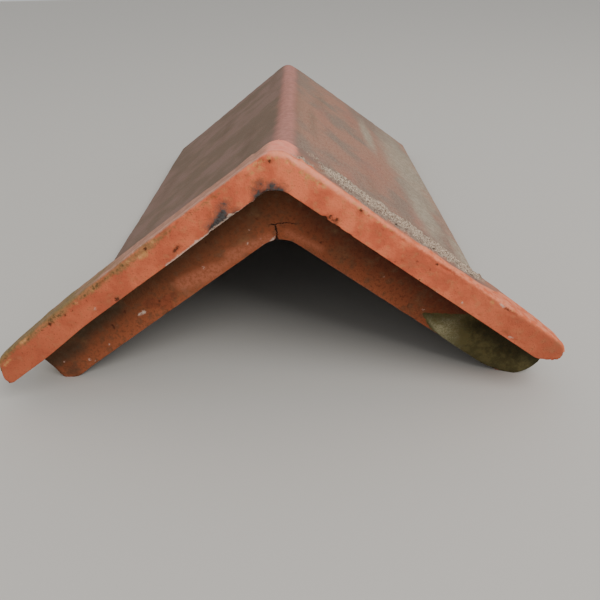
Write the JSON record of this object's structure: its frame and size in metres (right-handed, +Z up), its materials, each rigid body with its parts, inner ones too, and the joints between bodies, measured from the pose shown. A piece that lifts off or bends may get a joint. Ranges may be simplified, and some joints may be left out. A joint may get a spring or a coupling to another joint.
{
  "type": "capped angle ridge tile",
  "caption": "Fired clay roof ridge tile of two flat wings, with a socketed cap at one end that covers the plain end of the next tile.",
  "frame": {"origin": "on the bed, at the middle of the tile's width and length", "axes": "+X across the tile, +Y along the ridge from the cap to the plain end, +Z up from the bed"},
  "size_m": [0.2904, 0.457, 0.1333],
  "materials": {
    "fired_clay": "unglazed red clay, bright on the cap's front, weathered brown with lichen on top"
  },
  "bodies": {
    "root": {"ridge_tile": "fired_clay"}
  },
  "joints": []
}
